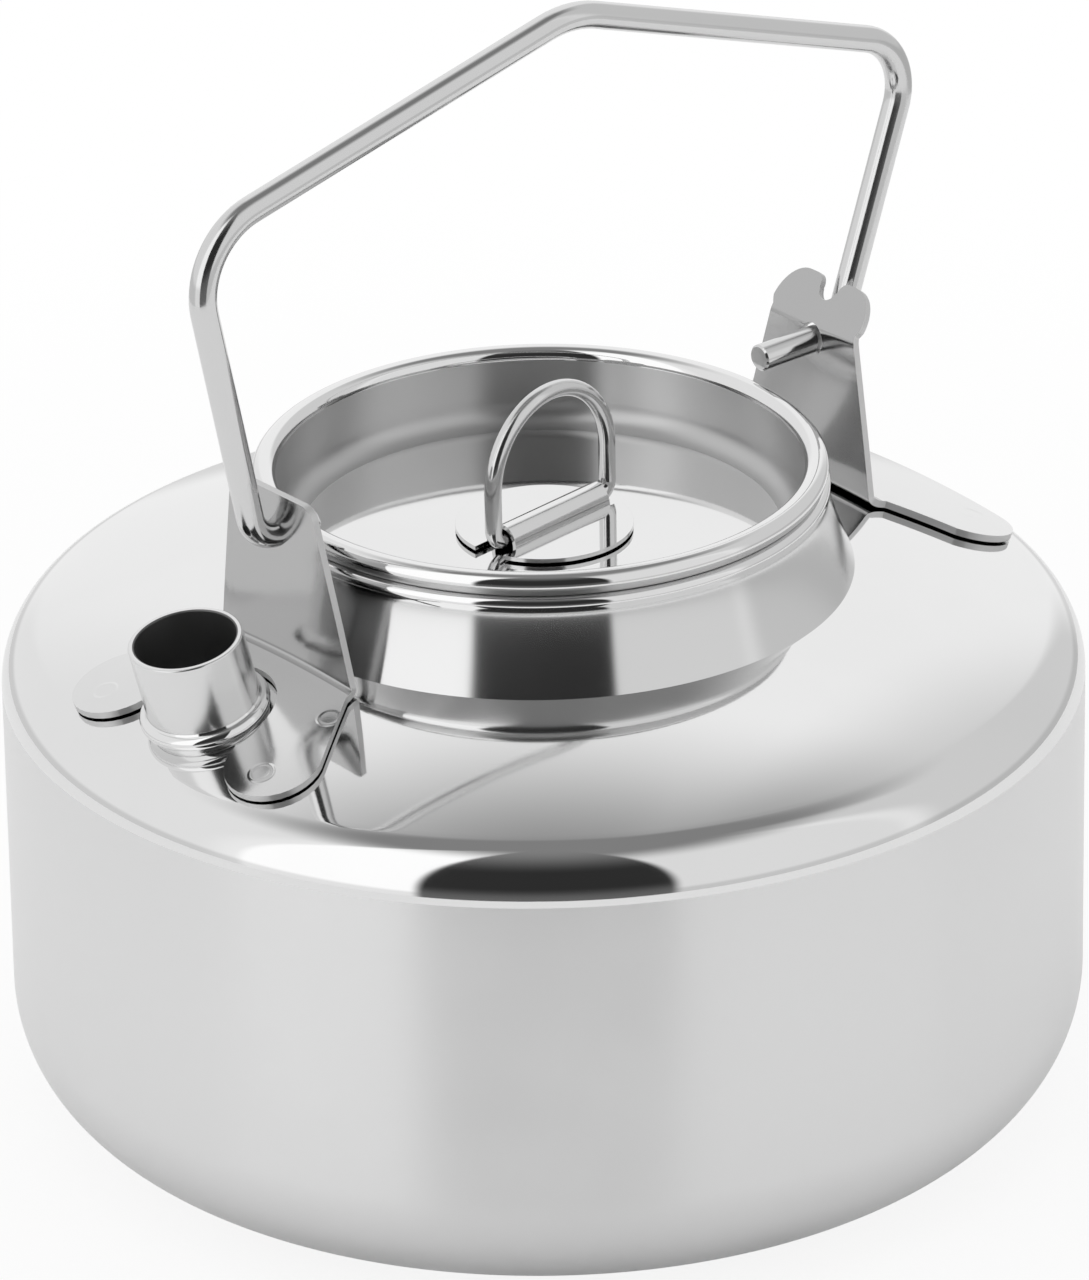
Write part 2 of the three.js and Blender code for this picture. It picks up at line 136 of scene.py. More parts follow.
PLATE = 1
PLATE_EDGE = 0.3
PLATE_GAP = 0.3
PLATE_BEND = 2
TAB_LEAN = math.radians(4.5)
TAB_HALF = 9
TAB_FOOT_HALF = 13.6
FRONT_TAB_CORNER = 2.4
FRONT_TAB = {"side": -1, "x": 46.3, "top": 103.5}
REAR_TAB = {"side": 1, "x": 50.35, "top": 104.7}
REAR_KINK_Z = 99.6
REAR_KINK = math.radians(34)
REAR_KINK_BEND = 1.2
NOTCH_HALF = 1.8
NOTCH_DEPTH = 2.6
LOBE_INNER = 1.4
LOBE_OUTER = 4.2
SLOT_RADIUS = 9.5
# the round corner of each foot: x, y of its centre, and its radius
FRONT_FOOT = (60.9, 16.4, 6.7)
REAR_FOOT = (60.3, 20.4, 6.7)

WELD_RING = 1.6 * MM
WELD_HEIGHT = 0.03 * MM


# ---------------------------------------------------------------- profiles and paths


def arc(centre_x, centre_y, radius, start, end, steps):
    """Points along an arc, with its angles in degrees."""
    points = []
    for i in range(steps + 1):
        angle = math.radians(start + (end - start) * i / steps)
        points.append((centre_x + radius * math.cos(angle), centre_y + radius * math.sin(angle)))
    return points


DOME_EDGE_RADIUS = BODY_RADIUS - SHOULDER_ROUND + SHOULDER_ROUND * math.sin(DOME_EDGE_SLOPE)
DOME_EDGE_Z = SEAM_Z + SHOULDER_ROUND * math.cos(DOME_EDGE_SLOPE)


def dome_height(radius):
    """Height of the dome's outer face at a distance from the axis."""
    if radius > DOME_EDGE_RADIUS:
        out = min(radius - (BODY_RADIUS - SHOULDER_ROUND), SHOULDER_ROUND)
        return SEAM_Z + math.sqrt(SHOULDER_ROUND**2 - out**2)
    inner = math.tan(DOME_INNER_SLOPE)
    edge = math.tan(DOME_EDGE_SLOPE)
    steepening = (edge - inner) / (DOME_EDGE_RADIUS - DOME_INNER_RADIUS)
    run = DOME_EDGE_RADIUS - max(radius, DOME_INNER_RADIUS)
    inner_run = max(DOME_INNER_RADIUS - radius, 0)
    return DOME_EDGE_Z + edge * run - steepening * run**2 / 2 + inner * inner_run


def bent_path(start, corners, end, step=math.radians(5)):
    """Stations (point, heading) along straight runs and round bends, in the XZ plane."""
    knots = [Vector(start)] + [Vector(corner[:2]) for corner in corners] + [Vector(end)]
    stations = [(knots[0], (knots[1] - knots[0]).normalized())]
    for index, (_, _, radius) in enumerate(corners, start=1):
        before = (knots[index] - knots[index - 1]).normalized()
        after = (knots[index + 1] - knots[index]).normalized()
        turn = before.angle(after)
        first = knots[index] - before * (radius * math.tan(turn / 2))
        inward = (after - before * after.dot(before)).normalized()
        centre = first + inward * radius
        count = max(3, math.ceil(turn / step))
        for i in range(count + 1):
            angle = turn * i / count
            point = centre - inward * (radius * math.cos(angle)) + before * (radius * math.sin(angle))
            stations.append((point, before * math.cos(angle) + inward * math.sin(angle)))
    stations.append((knots[-1], (knots[-1] - knots[-2]).normalized()))
    return stations


# ---------------------------------------------------------------- mesh makers


def finish_piece(mesh, name, node, material, sharp=35):
    """Makes an object of a mesh in millimetres, which stands for a CAD node and rides with its body."""
    mesh.transform(Matrix.Scale(MM, 4))
    mesh.shade_smooth()
    mesh.set_sharp_from_angle(angle=math.radians(sharp))
    piece = bpy.data.objects.new(name, mesh)
    bpy.context.scene.collection.objects.link(piece)
    mesh.materials.append(material)
    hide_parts(node)
    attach(piece, frame["nodes"][node]["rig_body"])
    return piece


def second_finish(piece, material, chosen):
    """Gives another finish to the faces whose middle, in millimetres, is one of the chosen."""
    piece.data.materials.append(material)
    for face in piece.data.polygons:
        if chosen(face.center / MM):
            face.material_index = 1


def turned(name, profile, steps=STEPS_ROUND):
    """A mesh turned about Z from a closed profile of (radius, z) points."""
    mesh = bpy.data.meshes.new(name)
    build = bmesh.new()
    rings = []
    for radius, z in profile:
        if radius < 1e-6:
            rings.append([build.verts.new((0, 0, z))])
            continue
        ring = []
        for i in range(steps):
            angle = 2 * math.pi * i / steps
            ring.append(build.verts.new((radius * math.cos(angle), radius * math.sin(angle), z)))
        rings.append(ring)
    for lower, upper in zip(rings, rings[1:] + rings[:1]):
        if len(lower) == 1 and len(upper) == 1:
            continue
        for i in range(steps):
            j = (i + 1) % steps
            if len(lower) == 1:
                build.faces.new((lower[0], upper[j], upper[i]))
            elif len(upper) == 1:
                build.faces.new((lower[i], lower[j], upper[0]))
            else:
                build.faces.new((lower[i], lower[j], upper[j], upper[i]))
    bmesh.ops.recalc_face_normals(build, faces=build.faces)
    build.to_mesh(mesh)
    build.free()
    return mesh


def rod(name, stations, radius, chamfer, sides=40):
    """A round rod along a path in the XZ plane, with a small chamfer round each end."""
    mesh = bpy.data.meshes.new(name)
    build = bmesh.new()
    first, first_heading = stations[0]
    last, last_heading = stations[-1]
    rows = [
        (first, first_heading, radius - chamfer),
        (first + first_heading * chamfer, first_heading, radius),
    ]
    rows += [(point, heading, radius) for point, heading in stations[1:-1]]
    rows += [
        (last - last_heading * chamfer, last_heading, radius),
        (last, last_heading, radius - chamfer),
    ]
    rings = []
    for point, heading, width in rows:
        ring = []
        for i in range(sides):
            angle = 2 * math.pi * i / sides
            across = width * math.cos(angle)
            out = width * math.sin(angle)
            place = (point.x - heading.y * across, out, point.y + heading.x * across)
            ring.append(build.verts.new(place))
        rings.append(ring)
    for lower, upper in zip(rings, rings[1:]):
        for i in range(sides):
            j = (i + 1) % sides
            build.faces.new((lower[i], lower[j], upper[j], upper[i]))
    build.faces.new(rings[0])
    build.faces.new(rings[-1])
    bmesh.ops.recalc_face_normals(build, faces=build.faces)
    build.to_mesh(mesh)
    build.free()
    return mesh


def cut_sheet(name, outline, cuts_u, cuts_v, place):
    """A flat outline in (u, v), cut into strips at both sets of lines and then bent by place(u, v)."""
    mesh = bpy.data.meshes.new(name)
    build = bmesh.new()
    build.faces.new([build.verts.new((u, v, 0)) for u, v in outline])
    for axis, cuts in ((0, cuts_u), (1, cuts_v)):
        normal = Vector((1, 0, 0)) if axis == 0 else Vector((0, 1, 0))
        for cut in cuts:
            everything = build.verts[:] + build.edges[:] + build.faces[:]
            bmesh.ops.bisect_plane(build, geom=everything, plane_co=normal * cut, plane_no=normal, dist=1e-4)
    for vertex in build.verts:
        vertex.co = place(vertex.co.x, vertex.co.y)
    build.to_mesh(mesh)
    build.free()
    return mesh


def drill_pivot(piece, x):
    """Opens the round hole that the bail turns in. The sheet has no thickness yet."""
    build = bmesh.new()
    build.from_mesh(piece.data)

    def from_axis(face):
        middle = face.calc_center_median()
        return math.hypot(middle.y, middle.z - PIVOT_Z * MM)

    ring = []
    for i in range(48):
        angle = 2 * math.pi * i / 48
        ring.append((PIVOT_HOLE * math.cos(angle), PIVOT_HOLE * math.sin(angle)))
    for (y, z), (next_y, next_z) in zip(ring, ring[1:] + ring[:1]):
        outward = Vector((0, z - next_z, next_y - y)).normalized()
        near = [face for face in build.faces if from_axis(face) < 4 * MM]
        geometry = near + list({edge for face in near for edge in face.edges})
        geometry += list({vertex for face in near for vertex in face.verts})
        middle = Vector((x, (y + next_y) / 2, PIVOT_Z + (z + next_z) / 2)) * MM
        bmesh.ops.bisect_plane(build, geom=geometry, plane_co=middle, plane_no=outward, dist=1e-7)
    inside = [face for face in build.faces if from_axis(face) < PIVOT_HOLE * 0.985 * MM]
    bmesh.ops.delete(build, geom=inside, context="FACES")
    build.to_mesh(piece.data)
    build.free()


def thicken(piece, thickness, edge, edge_material):
    """Gives a bent sheet its thickness, half to each side, and small round edges with their own finish."""
    piece.data.materials.append(edge_material)
    edge_slot = len(piece.data.materials) - 1
    solid = piece.modifiers.new("thickness", "SOLIDIFY")
    solid.thickness = thickness * MM
    solid.offset = 0
    solid.use_even_offset = True
    solid.material_offset_rim = edge_slot
    bevel = piece.modifiers.new("edges", "BEVEL")
    bevel.width = edge * MM
    bevel.segments = 2
    bevel.material = edge_slot
    bevel.limit_method = "ANGLE"
    bevel.angle_limit = math.radians(50)
    bevel.harden_normals = True


# ---------------------------------------------------------------- finishes


class Nodes:
    """A short way to write a node tree."""

    def __init__(self, tree):
        self.tree = tree
        tree.nodes.clear()

    def add(self, kind, inputs=None, **settings):
        node = self.tree.nodes.new(kind)
        for key, value in settings.items():
            setattr(node, key, value)
        for key, value in (inputs or {}).items():
            if isinstance(value, bpy.types.NodeSocket):
                self.tree.links.new(value, node.inputs[key])
            else:
                node.inputs[key].default_value = value
        return node

    def math(self, operation, first, second=0.0, clamp=False):
        node = self.add("ShaderNodeMath", {0: first, 1: second}, operation=operation, use_clamp=clamp)
        return node.outputs[0]

    def ramp(self, value, low, high, at_low=0.0, at_high=1.0):
        inputs = {"Value": value, "From Min": low, "From Max": high, "To Min": at_low, "To Max": at_high}
        node = self.add("ShaderNodeMapRange", inputs, interpolation_type="SMOOTHSTEP")
        return node.outputs["Result"]

    def bump(self, height, depth, normal=None):
        inputs = {"Height": height, "Strength": 1.0, "Distance": depth}
        if normal is not None:
            inputs["Normal"] = normal
        return self.add("ShaderNodeBump", inputs).outputs[0]

    def noise(self, vector, scale, detail=2.0, roughness=0.5):
        inputs = {"Vector": vector, "Scale": scale, "Detail": detail, "Roughness": roughness}
        return self.add("ShaderNodeTexNoise", inputs).outputs["Fac"]


def weld_marks(nodes, place, centres):
    """Height of the faint raised rings that spot welding leaves around each (x, y), in metres."""
    total = 0.0
    for x, y in centres:
        flat = nodes.add("ShaderNodeVectorMath", {0: place, 1: (1, 1, 0)}, operation="MULTIPLY")
        centre = (x * MM, y * MM, 0)
        away = nodes.add("ShaderNodeVectorMath", {0: flat.outputs[0], 1: centre}, operation="DISTANCE")
        distance = away.outputs["Value"]
        rise = nodes.ramp(distance, WELD_RING * 0.7, WELD_RING)
        fall = nodes.ramp(distance, WELD_RING, WELD_RING * 1.25, 1.0, 0.0)
        total = nodes.math("ADD", total, nodes.math("MULTIPLY", rise, fall))
    return total


def steel(name, tone, roughness, spread, grain, depth, ripple=0.0, brushed=0.0, welds=()):
    """Bare stainless steel.

    The grain's fine lines run round the Z axis where grain is "turned"; otherwise it gives their frequency
    along x, y and z, per metre. spread is how much the roughness varies in patches. brushed blurs
    reflections across the lines, so upright on an upright wall.
    """
    material = bpy.data.materials.new(name)
    material.use_nodes = True
    nodes = Nodes(material.node_tree)
    place = nodes.add("ShaderNodeTexCoord").outputs["Object"]
    if grain == "turned":
        parts = nodes.add("ShaderNodeSeparateXYZ", {"Vector": place})
        squares = [nodes.math("MULTIPLY", parts.outputs[axis], parts.outputs[axis]) for axis in "XY"]
        radius = nodes.math("SQRT", nodes.math("ADD", *squares))
        turn = nodes.math("ARCTAN2", parts.outputs["Y"], parts.outputs["X"])
        turned_place = nodes.add(
            "ShaderNodeCombineXYZ",
            {
                "X": nodes.math("MULTIPLY", radius, 9000.0),
                "Y": nodes.math("MULTIPLY", turn, 6.0),
                "Z": nodes.math("MULTIPLY", parts.outputs["Z"], 9000.0),
            },
        )
        lines = nodes.noise(turned_place.outputs[0], 1.0, 3.0)
    else:
        stretched = nodes.add("ShaderNodeMapping", {"Vector": place, "Scale": grain})
        lines = nodes.noise(stretched.outputs[0], 1.0, 3.0)
    patches = nodes.noise(place, 45.0, 3.0)
    waves = nodes.noise(place, 22.0, 1.0)
    normal = nodes.bump(lines, depth)
    normal = nodes.bump(waves, ripple, normal)
    if welds:
        normal = nodes.bump(weld_marks(nodes, place, welds), WELD_HEIGHT, normal)
    shade = nodes.add(
        "ShaderNodeMix",
        {"Factor": nodes.ramp(patches, 0.35, 0.65), "A": (*[tone * 0.985] * 3, 1), "B": (*[tone] * 3, 1)},
        data_type="RGBA",
    )
    surface = nodes.add(
        "ShaderNodeBsdfPrincipled",
        {
            "Base Color": shade.outputs["Result"],
            "Metallic": 1.0,
            "Roughness": nodes.ramp(patches, 0.3, 0.7, roughness - spread, roughness + spread),
            "Anisotropic": brushed,
            "Anisotropic Rotation": 0.25,
            "Normal": normal,
        },
    )
    if brushed:
        tangent = nodes.add("ShaderNodeTangent", direction_type="RADIAL", axis="Z")
        nodes.tree.links.new(tangent.outputs[0], surface.inputs["Tangent"])
    output = nodes.add("ShaderNodeOutputMaterial")
    nodes.tree.links.new(surface.outputs[0], output.inputs[0])
    return material


polished = steel("polished_steel", 0.86, 0.045, 0.015, "turned", 0.0000004, ripple=0.00001)
satin = steel("satin_steel", 0.84, 0.3, 0.02, "turned", 0.000002, brushed=0.9)
neck_steel = steel("neck_steel", 0.77, 0.15, 0.02, "turned", 0.0000015, brushed=0.9)
lid_wall_steel = steel("lid_wall_steel", 0.62, 0.34, 0.03, "turned", 0.000002, brushed=0.85)
drawn = steel("drawn_steel", 0.8, 0.2, 0.03, "turned", 0.000002)
# the spout's bore: its very dark tone is painted shade inside the tube, not the steel's own colour
bore_painted_shade_steel = steel("bore_painted_shade_steel", 0.2, 0.5, 0.05, "turned", 0.000002)
# the bracket's upright tab: its tone is set much darker than the foot's, though both are one sheet, which is
# painted shade on the tab
tab_painted_shade_steel = steel("tab_painted_shade_steel", 0.52, 0.13, 0.03, (500, 2500, 500), 0.0000015)
FOOT_WELDS = [(-50.9, -16), (-63.5, -17), (-63.5, 17), (51.5, -14.5), (62.5, -19.5), (62.5, 19.5)]
# the bracket's foot: its tone is set lighter than the tab's, which is painted light on the foot; the weld
# rings are real raised marks
foot_painted_light_steel = steel("foot_painted_light_steel", 0.82, 0.12, 0.02, (500, 500, 500), 0.000001, welds=FOOT_WELDS)
cut_edge_steel = steel("cut_edge_steel", 0.72, 0.5, 0.05, (400, 400, 400), 0.000002)
wire = steel("wire_steel", 0.74, 0.13, 0.03, (120, 2500, 400), 0.000002)


# ---------------------------------------------------------------- body


def pan_profile():
    centre = BODY_RADIUS - BASE_CORNER
    inner = BASE_CORNER - SHEET
    profile = [(0, 0), (centre - 12, 0)]
    profile += arc(centre, BASE_CORNER, BASE_CORNER, -90, 0, 48)
    profile += [(BODY_RADIUS, SEAM_Z), (BODY_RADIUS - SHEET, SEAM_Z)]
    profile += arc(centre, BASE_CORNER, inner, 0, -90, 24)
    profile += [(0, SHEET)]
    return profile


def dome_profile():
    centre = BODY_RADIUS - SHOULDER_ROUND
    round_end = 90 - math.degrees(DOME_EDGE_SLOPE)
    rows = 40
    outside = []
    for i in range(1, rows + 1):
        radius = DOME_EDGE_RADIUS + (DOME_MOUTH - DOME_EDGE_RADIUS) * i / rows
        outside.append((radius, dome_height(radius)))
    drop = SHEET / math.cos(DOME_EDGE_SLOPE)
    inside = [(radius, z - drop) for radius, z in reversed(outside)]
    profile = arc(centre, SEAM_Z, SHOULDER_ROUND, 0, round_end, 40) + outside + inside
    profile += arc(centre, SEAM_Z, SHOULDER_ROUND - SHEET, round_end, 0, 16)
    return profile


def neck_profile():
    foot_radius = NECK_TOP_RADIUS + NECK_FLARE
    foot_z = dome_height(foot_radius)
    outer = []
    rows = 40
    for i in range(rows + 1):
        z = foot_z + (NECK_TOP_Z - foot_z) * i / rows
        flare = NECK_FLARE * (1 - i / rows) ** NECK_FLARE_POWER
        fillet = NECK_FILLET * math.exp((z - NECK_TOP_Z) / NECK_FILLET_HEIGHT)
        outer.append((NECK_TOP_RADIUS + flare + fillet, z))
    top_radius = outer[-1][0]
    bead_z = NECK_TOP_Z + NECK_BEAD - NECK_BEAD_DROP
    bead = arc(top_radius - NECK_BEAD_INSET, bead_z, NECK_BEAD, -30, 180, 28)
    inner = [(radius - SHEET, z) for radius, z in reversed(outer)]
    return outer + bead + inner


spout_turn = Matrix.Rotation(-SPOUT_LEAN, 4, "Y")
spout_place = Matrix.Translation((SPOUT_X, 0, dome_height(-SPOUT_X))) @ spout_turn


def lean(mesh):
    """Puts a piece that was turned about Z on the spout's leaning axis, where it crosses the dome."""
    mesh.transform(spout_place)
    return mesh


def spout_profile():
    inner = SPOUT_OUTER - SPOUT_WALL
    edge_z = SPOUT_ABOVE - SPOUT_EDGE
    profile = [(inner, -SPOUT_BELOW), (SPOUT_OUTER, -SPOUT_BELOW)]
    profile += arc(SPOUT_OUTER - SPOUT_EDGE, edge_z, SPOUT_EDGE, 0, 90, 6)
    profile += arc(inner + SPOUT_EDGE, edge_z, SPOUT_EDGE, 90, 180, 6)
    return profile


def collar_profile():
    inner = SPOUT_OUTER + 0.02
    bead = arc(SPOUT_OUTER + 0.15, COLLAR_BEAD_HEIGHT, COLLAR_BEAD, -75, 85, 20)
    return [(inner, COLLAR_LOW)] + bead + [(inner, COLLAR_HIGH)]


finish_piece(turned("pan", pan_profile()), "pan", "lower_pan", satin)
finish_piece(turned("dome", dome_profile()), "dome", "shoulder_dome", polished)
neck = finish_piece(turned("neck", neck_profile()), "neck", "neck_collar", polished)
second_finish(neck, neck_steel, lambda middle: middle.z < NECK_TOP_Z)
tube = turned("spout", spout_profile(), 128)
for vertex in tube.vertices:
    if vertex.co.z > 0:
        vertex.co.z -= vertex.co.x * math.tan(SPOUT_LEAN - SPOUT_RIM_LEAN)
spout = finish_piece(lean(tube), "spout", "spout_tube", drawn)
unlean = spout_place.inverted()
bore_limit = SPOUT_OUTER - 0.7 * SPOUT_WALL
# the faces inside the spout get the dark finish, which is painted shade in the bore
second_finish(spout, bore_painted_shade_steel, lambda middle: (unlean @ middle).xy.length < bore_limit)
finish_piece(lean(turned("collar", collar_profile(), 128)), "collar", "spout_collar", polished)


# ---------------------------------------------------------------- brackets


def half_outline(tab, kinked, corner, slot, bend_x):
    """Half of a bracket's flat pattern, from the tab's top round to the foot's end, as (u, half width).

    On the tab u is minus the height above the bend. On the foot it is the reach past the bend.
    """
    low = dome_height(bend_x)
    top = tab["top"]
    points = []
    if kinked:
        points += arc(0, top - NOTCH_DEPTH + NOTCH_HALF, NOTCH_HALF, -90, -20, 10)
        points += arc(NOTCH_HALF + LOBE_INNER, top - LOBE_INNER, LOBE_INNER, 180, 90, 8)
        points += arc(TAB_HALF - LOBE_OUTER, top - LOBE_OUTER, LOBE_OUTER, 90, 0, 12)
        points += [(TAB_HALF - 0.5, REAR_KINK_Z)]
    else:
        corner_y = TAB_HALF - FRONT_TAB_CORNER
        points += [(0, top)] + arc(corner_y, top - FRONT_TAB_CORNER, FRONT_TAB_CORNER, 90, 0, 10)
    tab_part = [(low - z, y) for y, z in points]
    x, y, radius = corner
    widening = math.degrees(math.atan2(y + radius - TAB_FOOT_HALF - 1, x - bend_x - 2))
    foot = arc(x, y, radius, 90 + widening, -90 if slot else 0, 20)
    if slot:
        foot += arc(slot, 0, SLOT_RADIUS, 90, 180, 14)
    else:
        foot += [(x + radius, 0)]
    foot_part = [(px - bend_x, py) for px, py in foot]
    return tab_part + [(-2, TAB_FOOT_HALF), (2, TAB_FOOT_HALF + 1)] + foot_part


def bracket(name, node, tab, kinked, corner, slot):
    """A bracket from its flat pattern: bent along the dome's slope, drilled, and given its thickness."""
    side = tab["side"]
    bend_x = tab["x"] - (PIVOT_Z - dome_height(tab["x"])) * math.tan(TAB_LEAN)
    lift = PLATE_GAP + PLATE / 2 / math.cos(DOME_EDGE_SLOPE)
    low = dome_height(bend_x)
    reach = PLATE_BEND * math.tan((math.pi / 2 - DOME_INNER_SLOPE - TAB_LEAN) / 2)

    def tab_x(z):
        """The tab's middle surface: it leans, and above the kink it turns further out."""
        straight = tab["x"] + (z - PIVOT_Z) * math.tan(TAB_LEAN)
        if not kinked:
            return straight
        past = min(max(z - REAR_KINK_Z + REAR_KINK_BEND, 0), 2 * REAR_KINK_BEND)
        rise = past * past / (4 * REAR_KINK_BEND) + max(z - REAR_KINK_Z - REAR_KINK_BEND, 0)
        return straight + rise * (math.tan(TAB_LEAN + REAR_KINK) - math.tan(TAB_LEAN))

    def place(u, v):
        fall = dome_height(math.hypot(bend_x + reach, v)) - dome_height(bend_x + reach)
        if u <= -reach:
            z = low - u
            return (side * tab_x(z), side * v, z + min(fall, 0) * (1 if u > -6 else 0))
        if u >= reach:
            x = bend_x + u
            return (side * x, side * v, dome_height(math.hypot(x, v)) + lift)
        # the bend, as a curve that starts down along the tab and ends out along the dome
        share = (u + reach) / (2 * reach)
        start = Vector((tab_x(low + reach), low + reach))
        middle = Vector((tab_x(low + lift), low + lift))
        end = Vector((bend_x + reach, dome_height(bend_x + reach) + lift))
        point = start * (1 - share) ** 2 + middle * (2 * share * (1 - share)) + end * share**2
        return (side * point.x, side * v, point.y + fall)

    half = half_outline(tab, kinked, corner, slot, bend_x)
    outline = [half[0]]
    for point in half[1:]:
        if math.dist(point, outline[-1]) > 1e-3:
            outline.append(point)
    mirrored = [(u, -v) for u, v in reversed(outline) if v > 1e-6]
    cuts_u = [reach * (i / 6 - 1) for i in range(13)] + [reach + 1.2 * i for i in range(1, 19)]
    if kinked:
        cuts_u += [low - REAR_KINK_Z + 0.3 * i for i in range(-5, 6)]
    cuts_v = [i * 1.5 for i in range(-18, 19)]
    mesh = cut_sheet(name, outline + mirrored, cuts_u, cuts_v, place)
    # the tab keeps the darker tone and the foot gets the lighter one: painted shade and painted light on one
    # sheet
    piece = finish_piece(mesh, name, node, tab_painted_shade_steel)
    second_finish(piece, foot_painted_light_steel, lambda middle: abs(middle.x) > bend_x + reach and middle.z < low + lift)
    drill_pivot(piece, side * tab["x"])
    thicken(piece, PLATE, PLATE_EDGE, cut_edge_steel)


bracket("front_plate", "front_bracket", FRONT_TAB, False, FRONT_FOOT, -SPOUT_X)
bracket("rear_plate", "rear_bracket", REAR_TAB, True, REAR_FOOT, None)


# ---------------------------------------------------------------- bail, lid and ring

bail_path = bent_path((-STUB_END, PIVOT_Z), BAIL_CORNERS, (STUB_END, PIVOT_Z))
finish_piece(rod("bail", bail_path, ROD, 0.25), "bail", "bail_handle", wire)


def lid_profile():
    wall = LID_RIM_RADIUS - LID_RIM
    outer_corner = LID_CORNER + SHEET
    profile = [(0, LID_FLOOR_Z - SHEET)]
    profile += arc(wall + SHEET - outer_corner, LID_FLOOR_Z + LID_CORNER, outer_corner, -90, 0, 12)
    profile += arc(LID_RIM_RADIUS, LID_RIM_Z, LID_RIM, -125, 180, 40)
    profile += arc(wall - LID_CORNER, LID_FLOOR_Z + LID_CORNER, LID_CORNER, 0, -90, 16)
    profile += [(20, LID_FLOOR_Z), (0, LID_FLOOR_Z)]
    return profile


lid = finish_piece(turned("lid", lid_profile()), "lid", "lid_pan", polished)
wall_low = LID_RIM_RADIUS - LID_RIM - LID_CORNER
second_finish(lid, lid_wall_steel, lambda middle: middle.xy.length > wall_low and middle.z < LID_RIM_Z)


ring_place = Matrix.Translation((*RING_PLACE, 0)) @ Matrix.Rotation(RING_TURN, 4, "Z")


def holder_height(y):
    """Height of the holder's sheet, to its middle: flat, with a half-round channel along the bar."""
    base = HOLDER_Z + HOLDER_SHEET / 2
    crown = BAR_Z + RING_WIRE + CHANNEL_ROOM + HOLDER_SHEET / 2
    if abs(y) >= CHANNEL_RADIUS:
        return base
    return base + (crown - base) * math.sqrt(1 - (y / CHANNEL_RADIUS) ** 2)


def holder():
    notch = CHANNEL_RADIUS + HOLDER_NOTCH
    end = CHANNEL_LENGTH / 2
    centre_x, centre_y = HOLDER_OFFSET
    outline = []
    for side in (1, -1):
        start = math.degrees(math.asin((notch - side * centre_y) / HOLDER_RADIUS))
        lobe = arc(side * centre_x, side * centre_y, HOLDER_RADIUS, start, 180 - start, 60)
        outline += [(side * x, side * y) for x, y in [(end, notch)] + lobe + [(-end, notch)]]
    cuts = [CHANNEL_RADIUS * math.sin(math.radians(angle)) for angle in range(-90, 91, 6)]
    mesh = cut_sheet("holder", outline, [], cuts, lambda x, y: (x, y, holder_height(y)))
    mesh.transform(ring_place)
    piece = finish_piece(mesh, "holder", "ring_holder", polished)
    thicken(piece, HOLDER_SHEET, HOLDER_EDGE, wire)


holder()

ring_corners = [
    (RING_ARCH, BAR_Z, RING_CORNER),
    (RING_ARCH, BAR_Z + RING_LEG + RING_ARCH, RING_ARCH - 0.02),
    (-RING_ARCH, BAR_Z + RING_LEG + RING_ARCH, RING_ARCH - 0.02),
    (-RING_ARCH, BAR_Z, RING_CORNER),
]
ring_mesh = rod("ring", bent_path((0.1, BAR_Z), ring_corners, (-0.1, BAR_Z)), RING_WIRE, 0.1, 32)
ring_mesh.transform(ring_place)
finish_piece(ring_mesh, "ring", "lid_ring", wire)


# ---------------------------------------------------------------- camera

camera_place = Vector((-0.80338, -0.95965, 0.65824))
camera_target = Vector((0.000149, -0.000147, 0.06629))
camera_roll = math.radians(-0.948)

forward = (camera_target - camera_place).normalized()
level_right = forward.cross(Vector((0, 0, 1))).normalized()
level_up = level_right.cross(forward)
right = level_right * math.cos(camera_roll) + level_up * math.sin(camera_roll)
up = level_up * math.cos(camera_roll) - level_right * math.sin(camera_roll)

camera = bpy.data.objects.new("camera", bpy.data.cameras.new("camera"))
bpy.context.scene.collection.objects.link(camera)
camera.data.sensor_width = 36
camera.data.lens = 281.3
camera.data.clip_start = 0.05
camera.data.clip_end = 20
turn = Matrix((right, up, -forward)).transposed().to_4x4()
camera.matrix_world = Matrix.Translation(camera_place) @ turn
bpy.context.scene.camera = camera


# ---------------------------------------------------------------- studio

FRONT_AZIMUTH = math.atan2(camera_place.y, camera_place.x)
TENT_LIGHT = 0.95
# parts of the tent's wall with another light: from, to and softness in degrees of azimuth, and the light
TENT_PANELS = [
    (25, 78, 4, 0.8),
    (82, 155, 6, 0.68),
    (-160, -70, 6, 0.85),
    (-64, -26, 1.5, 1.15),
]
CEILING_LIGHT = 0.24
FRONT_GAP = 26
TABLE_RADIUS = 0.36
TABLE_COLOUR = (0.93, 0.93, 0.93, 1)


